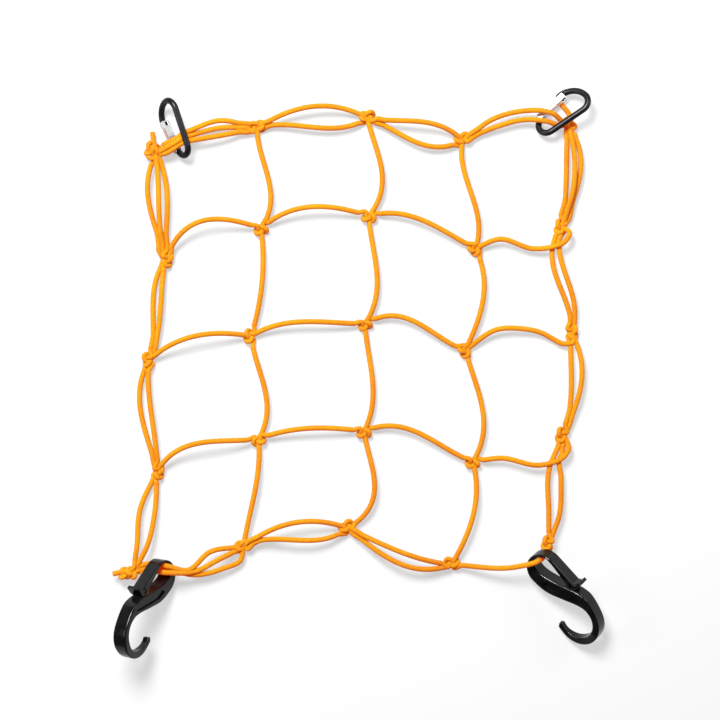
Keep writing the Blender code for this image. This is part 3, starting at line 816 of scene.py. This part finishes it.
def plate(points, thickness, name, rounding=0.0):
    """A flat plate from a closed outline, half above z = 0; `rounding` is its rims' radius."""
    curve = bpy.data.curves.new(name, "CURVE")
    curve.dimensions = "2D"
    curve.fill_mode = "BOTH"
    curve.extrude = (thickness / 2 - rounding) * MM
    curve.bevel_depth = rounding * MM
    curve.bevel_resolution = PLATE_ROUND_STEPS
    curve.offset = -rounding * MM
    add_line(curve, [(x * MM, y * MM, 0.0) for x, y in points], closed=True)
    return shape_object(curve, name)


def bar(points, radius, name):
    """A round bar along points in millimetres."""
    curve = bpy.data.curves.new(name, "CURVE")
    curve.dimensions = "3D"
    curve.bevel_depth = radius * MM
    curve.bevel_resolution = BAR_ROUND_STEPS
    curve.use_fill_caps = True
    add_line(curve, [(x * MM, y * MM, 0.0) for x, y in points])
    return shape_object(curve, name)


def block(low, high, name):
    """A box between two corners in millimetres."""
    shape = bmesh.new()
    bmesh.ops.create_cube(shape, size=1.0)
    low = Vector(low)
    high = Vector(high)
    for vertex in shape.verts:
        share = vertex.co + Vector((0.5, 0.5, 0.5))
        vertex.co = Vector((low[i] + share[i] * (high[i] - low[i])) * MM for i in range(3))
    mesh = bpy.data.meshes.new(name)
    shape.to_mesh(mesh)
    shape.free()
    return link_mesh(mesh, name)


def disc(radius, low, high, name):
    """A cylinder along Z between two heights, in millimetres."""
    shape = bmesh.new()
    bmesh.ops.create_cone(
        shape, cap_ends=True, segments=DISC_SIDES, radius1=radius * MM, radius2=radius * MM,
        depth=(high - low) * MM,
    )
    bmesh.ops.translate(shape, verts=shape.verts, vec=Vector((0, 0, (low + high) / 2)) * MM)
    mesh = bpy.data.meshes.new(name)
    shape.to_mesh(mesh)
    shape.free()
    return link_mesh(mesh, name)


def combine(target, others, operation):
    """Join or cut a piece by others, at once; the others are removed."""
    for other in others:
        modifier = target.modifiers.new("Boolean", "BOOLEAN")
        modifier.operation = operation
        modifier.object = other
        modifier.solver = "EXACT"
    settle(target)
    for other in others:
        bpy.data.objects.remove(other, do_unlink=True)


def settle(target):
    """Replace an object's mesh by what its modifiers make of it."""
    graph = bpy.context.evaluated_depsgraph_get()
    mesh = bpy.data.meshes.new_from_object(target.evaluated_get(graph))
    target.modifiers.clear()
    target.data = mesh


def soften(target, width, segments, angle):
    """Round the edges that bend more than an angle."""
    bevel = target.modifiers.new("Edges", "BEVEL")
    bevel.width = width * MM
    bevel.segments = segments
    bevel.limit_method = "ANGLE"
    bevel.angle_limit = math.radians(angle)
    bevel.use_clamp_overlap = False
    settle(target)


def place_piece(target, matrix, material, body, *nodes, slot, sharp=SHARP_ANGLE):
    """Move a shape to its place and make it a piece of the scene."""
    mesh = target.data
    mesh.transform(matrix)
    name = target.name
    bpy.data.objects.remove(target, do_unlink=True)
    mesh.shade_smooth()
    mesh.set_sharp_from_angle(angle=math.radians(sharp))
    piece = new_piece(mesh, name, material, body, *nodes, slot=slot)
    flat = piece.modifiers.new("Flats", "WEIGHTED_NORMAL")
    flat.keep_sharp = True


# ---- carabiners ------------------------------------------------------------------
# In the carabiner's own plane: x from the hinge end to the nose end, y from the
# spine to the gate. Gate, slot and catch run along the gate from its hinge.
BAR_RADIUS = 2.5
CARABINER_LENGTH = 50.0
BASKET_RADIUS = 7.3           # centreline of the bend at the hinge end
BASKET_END_ANGLE = 126.0
CROWN_RADIUS = 8.1            # centreline of the tight bend beside the spine
CROWN_SPREAD = 16.0           # centreline of the wide bend towards the nose
CROWN_TURN = 13.0             # where the tight bend hands over to the wide one
NOSE_ANGLE = 80.0
BASKET_STEPS = 22
CROWN_STEPS = 16
HINGE = Vector((8.0, 15.8, 0.0))
LATCH = Vector((33.0, 20.6, 0.0))
BEAK = ((37.0, 24.0), (33.0, 24.7), (28.3, 24.4), (26.9, 23.7), (27.4, 22.8), (37.0, 23.2))
BEAK_THICKNESS = 3.2
BEAK_SOFTENING = (0.4, 3, 40)   # width of the rounding, its segments, least bend
LUG_THICKNESS = 2.6
LUG_RADIUS = 1.9
GATE_WIDTH = 6.0
GATE_SHEET = 0.8
GATE_INNER = -2.5
GATE_OUTER = 2.0
GATE_ROUND = 2.5
GATE_LENGTH = 25.6
GATE_MOUTH = 3.4              # the channel's back is open from its hinge end to here
GATE_SOFTENING = (0.22, 2, 50)
SLOT = (21.4, 24.6, 1.3)      # start, end, half its width
CATCH = (22.0, 28.5, 0.9)     # the same for the nose's catch
CATCH_HEIGHTS = (-0.9, 1.1)
CATCH_TOOTH_LENGTH = 1.5
CUT_REACH = 9.0               # how far a cut runs past the gate on its open sides
PIN_RADIUS = 1.0
PIN_HOLE_RADIUS = 1.3
PIN_HEAD_RADIUS = 1.9
PIN_HEAD_THICKNESS = 0.5
PIN_SOFTENING = (0.18, 2, 50)
FIT_GAP = 0.3


def body_line():
    """The bar's centreline, from the hinge round to the nose."""
    basket_x = BAR_RADIUS + BASKET_RADIUS
    basket = arc(basket_x, BASKET_RADIUS, BASKET_RADIUS, BASKET_END_ANGLE, 270, BASKET_STEPS)
    crown_x = CARABINER_LENGTH - BAR_RADIUS - CROWN_RADIUS
    crown = arc(crown_x, CROWN_RADIUS, CROWN_RADIUS, -90, CROWN_TURN, CROWN_STEPS)
    turn = math.radians(CROWN_TURN)
    spread_x = crown_x + (CROWN_RADIUS - CROWN_SPREAD) * math.cos(turn)
    spread_y = CROWN_RADIUS + (CROWN_RADIUS - CROWN_SPREAD) * math.sin(turn)
    spread = arc(spread_x, spread_y, CROWN_SPREAD, CROWN_TURN, NOSE_ANGLE, CROWN_STEPS)
    return basket + crown + spread[1:]


def lug_frame():
    """The lug's own frame at the hinge, and its distance from the bar's end."""
    start = Vector((*body_line()[0], 0.0))
    run = HINGE - start
    turn = Matrix.Rotation(math.atan2(run.y, run.x), 4, "Z")
    return Matrix.Translation(HINGE * MM) @ turn, run.length


def gate_frame():
    """The gate's own frame at the hinge: x along the gate, y outwards."""
    run = LATCH - HINGE
    turn = Matrix.Rotation(math.atan2(run.y, run.x), 4, "Z")
    return Matrix.Translation(HINGE * MM) @ turn


def build_carabiner(name, gate_body, black, bright):
    """A carabiner's bar with lug, catch and beak, its channel gate and its pin."""
    world = own_to_world(FRAMES[name])
    local = gate_frame()

    body = bar(body_line(), BAR_RADIUS, name + "_bar")
    lug_local, neck = lug_frame()
    side = arc(0, 0, LUG_RADIUS, -90, 90, HALF_ROUND_STEPS)
    side += [(-neck - LUG_RADIUS, LUG_RADIUS), (-neck - LUG_RADIUS, -LUG_RADIUS)]
    lug = plate(side, LUG_THICKNESS, name + "_lug")
    lug.data.transform(lug_local)
    start, end, half = CATCH
    low, high = CATCH_HEIGHTS
    catch = block((start, low, -half), (end, high, half), name + "_catch")
    tooth = block((start, GATE_INNER, -half), (start + CATCH_TOOTH_LENGTH, 0, half), name + "_tooth")
    hole = disc(PIN_HOLE_RADIUS, -CUT_REACH, CUT_REACH, name + "_hole")
    for tool in (catch, tooth, hole):
        tool.data.transform(local)
    beak = plate(BEAK, BEAK_THICKNESS, name + "_beak")
    soften(beak, *BEAK_SOFTENING)
    combine(body, [lug, catch, tooth, beak], "UNION")
    combine(body, [hole], "DIFFERENCE")
    place_piece(body, world, black, ROOT_BODY, name + "_body", slot="black_metal")

    side = arc(0, 0, GATE_ROUND, 90, 270, HALF_ROUND_STEPS)
    side += [(GATE_LENGTH, GATE_INNER), (GATE_LENGTH, GATE_OUTER)]
    gate = plate(side, GATE_WIDTH, name + "_channel_gate")
    inside = GATE_WIDTH / 2 - GATE_SHEET
    far = GATE_LENGTH + CUT_REACH
    back = GATE_INNER + GATE_SHEET
    channel = block((-CUT_REACH, back, -inside), (far, CUT_REACH, inside), name + "_inside")
    mouth = block((-CUT_REACH, -CUT_REACH, -inside), (GATE_MOUTH, CUT_REACH, inside), name + "_mouth")
    start, end, half = SLOT
    slot = block((start, -CUT_REACH, -half), (end, CUT_REACH, half), name + "_slot")
    hole = disc(PIN_HOLE_RADIUS, -CUT_REACH, CUT_REACH, name + "_gate_hole")
    combine(gate, [channel, mouth, slot, hole], "DIFFERENCE")
    soften(gate, *GATE_SOFTENING)
    place_piece(gate, world @ local, bright, gate_body, name + "_gate", slot="bright_metal")

    half_pin = GATE_WIDTH / 2 + FIT_GAP + PIN_HEAD_THICKNESS
    pin = disc(PIN_RADIUS, -half_pin, half_pin, name + "_pin")
    neck = half_pin - PIN_HEAD_THICKNESS
    low_head = disc(PIN_HEAD_RADIUS, -half_pin, -neck, name + "_head_low")
    high_head = disc(PIN_HEAD_RADIUS, neck, half_pin, name + "_head_high")
    combine(pin, [low_head, high_head], "UNION")
    soften(pin, *PIN_SOFTENING)
    place_piece(pin, world @ local, bright, ROOT_BODY, name + "_rivet", slot="bright_metal")


# ---- hooks -----------------------------------------------------------------------
# In the hook's own plane: x along the hook from its eye, y towards the tongue.
HOOK_WIDTH = 12.0
HOOK_TIP_WIDTH = 5.4
# Rounds: x and y of the centre, radius. Sweeps: from, to.
EYE_OUTER = (1.0, 0.7, 14.0)
EYE_OUTER_SWEEP = (-86, -270)
EYE_INNER = (-2.5, 4.5, 7.3)
EYE_INNER_SWEEP = (88, 262)
EYE_INNER_STEPS = 30
BEND_OUTER = (49.6, -9.4, 19.4)
BEND_OUTER_SWEEP = (60, -96)
BEND_INNER = (47.6, -9.5, 15.2)
BEND_INNER_SWEEP = (-100, 104)
ROUND_STEPS = 40
TONGUE_LENGTH = 29.2
TONGUE_THICKNESS = 2.9
TONGUE_TOOTH = (0.8, 6.0, 8.0)  # its tip, back and root, from the tongue's end
LIP_FOOT = ((-5.0, 0.0), (-3.0, 2.0))
LIP_THICKNESS = 2.7
LIP_HEIGHT = 5.4
LIP_ROOT = 1.0
SHANK_INSIDE = ((13.5, 1.8), (23.0, 7.2), (33.5, 12.4), (39.0, 13.6), (44.5, 12.9), (52.0, 10.7))
SHANK_OUTSIDE = ((40.6, 3.9), (28.0, -3.9), (15.5, -11.0))
SEAT_GAP = 0.9                # between the tooth and the shank
TIP_POINTS = ((-5.0, -3.4), (-6.8, -0.5), (-4.9, 1.2))
TAPER_REACH = 14.0
TAPER_START = 20.0            # degrees round the bend
TAPER_TURN = 110.0
TAPER_CUTS = 11               # they give the flat sides edges to narrow along
RECESS_OUTLINE = (
    (8.0, -8.0), (16.0, -7.0), (37.0, 4.8), (41.0, 8.2),
    (39.0, 10.2), (33.0, 8.8), (22.0, 3.2), (10.0, -3.2),
)
RECESS_DEPTH = 1.6
OUTLINE_STEP = 1.2
MOULDING_ROUND = 1.3
MOULDING_SHARP = 30.0


def hook_outline():
    """The hook's side view: sprung tongue, eye, shank and open bend."""
    eye_top = EYE_OUTER[1] + EYE_OUTER[2]
    under = eye_top - TONGUE_THICKNESS
    low, high = SHANK_INSIDE[1], SHANK_INSIDE[2]
    slope = (high[1] - low[1]) / (high[0] - low[0])
    tooth_tip, tooth_back, tooth_root = (TONGUE_LENGTH - back for back in TONGUE_TOOTH)
    tooth = [(x, low[1] + slope * (x - low[0]) + SEAT_GAP) for x in (tooth_tip, tooth_back)]
    tongue_inside = tooth + [(tooth_root, under)]
    eye = arc(*EYE_INNER, *EYE_INNER_SWEEP, EYE_INNER_STEPS)
    bend_outside = arc(*BEND_OUTER, *BEND_OUTER_SWEEP, ROUND_STEPS)
    centre_x, centre_y, radius = BEND_INNER
    tip = [(centre_x + x, centre_y - radius + y) for x, y in TIP_POINTS]
    bend_inside = arc(*BEND_INNER, *BEND_INNER_SWEEP, ROUND_STEPS)
    eye_outside = arc(*EYE_OUTER, *EYE_OUTER_SWEEP, ROUND_STEPS)
    lip = [(TONGUE_LENGTH + x, eye_top + y) for x, y in LIP_FOOT]
    lip += [
        (TONGUE_LENGTH - LIP_THICKNESS, eye_top + LIP_HEIGHT),
        (TONGUE_LENGTH, eye_top + LIP_HEIGHT),
        (TONGUE_LENGTH, eye_top - LIP_ROOT),
    ]
    inside = flowing(eye, SHANK_INSIDE, bend_outside)
    outside = flowing(bend_inside, SHANK_OUTSIDE, eye_outside)
    return tongue_inside + eye + inside + bend_outside + tip + bend_inside + outside + eye_outside + lip


def flowing(before, middle, after):
    """The points between two arcs, on a smooth curve through the middle ones."""
    points = [Vector((x, y, 0.0)) for x, y in (*before[-2:], *middle, *after[:2])]
    path = smooth_path(points, OUTLINE_STEP)
    first = path.index(points[1])
    last = path.index(points[-2])
    return [(point.x, point.y) for point in path[first + 1:last]]


def taper_tip(mesh):
    """Narrow the band from the middle of the bend to the tip."""
    centre_x, centre_y, _radius = BEND_OUTER
    shape = bmesh.new()
    shape.from_mesh(mesh)
    for step in range(TAPER_CUTS + 1):
        angle = math.radians(TAPER_START - TAPER_TURN * step / TAPER_CUTS)
        bmesh.ops.bisect_plane(
            shape, geom=shape.verts[:] + shape.edges[:] + shape.faces[:], dist=CUT_WELD,
            plane_co=Vector((centre_x, centre_y, 0.0)) * MM,
            plane_no=Vector((-math.sin(angle), math.cos(angle), 0.0)),
        )
    shape.to_mesh(mesh)
    shape.free()
    for vertex in mesh.vertices:
        x = vertex.co.x / MM - centre_x
        y = vertex.co.y / MM - centre_y
        if x < -TAPER_REACH or y > TAPER_REACH:
            continue
        angle = math.degrees(math.atan2(y, x))
        share = min(1.0, max(0.0, (TAPER_START - angle) / TAPER_TURN))
        width = HOOK_WIDTH + (HOOK_TIP_WIDTH - HOOK_WIDTH) * share
        vertex.co.z *= width / HOOK_WIDTH


def build_hook(name, plastic):
    """A hook in one piece, with a recess in each side of its shank."""
    hook = plate(hook_outline(), HOOK_WIDTH, name + "_moulding", MOULDING_ROUND)
    taper_tip(hook.data)
    recesses = []
    for side in (-1, 1):
        recess = plate(RECESS_OUTLINE, 2 * RECESS_DEPTH, name + "_recess_" + str(side + 1))
        recess.data.transform(Matrix.Translation((0.0, 0.0, side * HOOK_WIDTH * MM / 2)))
        recesses.append(recess)
    combine(hook, recesses, "DIFFERENCE")
    world = own_to_world(FRAMES[name])
    place_piece(
        hook, world, plastic, ROOT_BODY, name, slot="black_plastic", sharp=MOULDING_SHARP,
    )


# ---- surroundings ----------------------------------------------------------------
def build_stage():
    """The plain pale floor, the studio's light and the picture's tone."""
    shape = bmesh.new()
    bmesh.ops.create_grid(shape, x_segments=1, y_segments=1, size=FLOOR_REACH)
    mesh = bpy.data.meshes.new("floor")
    shape.to_mesh(mesh)
    shape.free()
    floor = link_mesh(mesh, "floor")
    mesh.materials.append(Surface("floor_white", FLOOR_FINISH).material)

    world = bpy.data.worlds.new("studio")
    bpy.context.scene.world = world
    world.use_nodes = True
    background = world.node_tree.nodes["Background"]
    background.inputs["Color"].default_value = (1.0, 1.0, 1.0, 1.0)
    background.inputs["Strength"].default_value = WORLD_STRENGTH

    for name, place, size, power in LIGHTS:
        light = bpy.data.lights.new(name, "AREA")
        light.size = size
        light.energy = power
        lamp = bpy.data.objects.new(name, light)
        lamp.location = place
        lamp.rotation_mode = "QUATERNION"
        lamp.rotation_quaternion = (-Vector(place)).to_track_quat("-Z", "Y")
        bpy.context.scene.collection.objects.link(lamp)
    bpy.context.scene.view_settings.view_transform = "Standard"


def build_camera():
    """A camera straight above the layout's own zero, looking down."""
    camera = bpy.data.cameras.new("camera")
    camera.sensor_width = SENSOR
    camera.lens = SENSOR * CAMERA_HEIGHT / VIEW_WIDTH
    placed = bpy.data.objects.new("camera", camera)
    placed.location = (-LAYOUT_CENTRE.x * MM, -LAYOUT_CENTRE.y * MM, CAMERA_HEIGHT)
    bpy.context.scene.collection.objects.link(placed)
    bpy.context.scene.camera = placed


build_camera()
build_stage()
build_net(cord_material())
black = black_metal_material()
bright = bright_metal_material()
plastic = black_plastic_material()
build_carabiner("carabiner_left", "gate_left", black, bright)
build_carabiner("carabiner_right", "gate_right", black, bright)
build_hook("hook_left", plastic)
build_hook("hook_right", plastic)
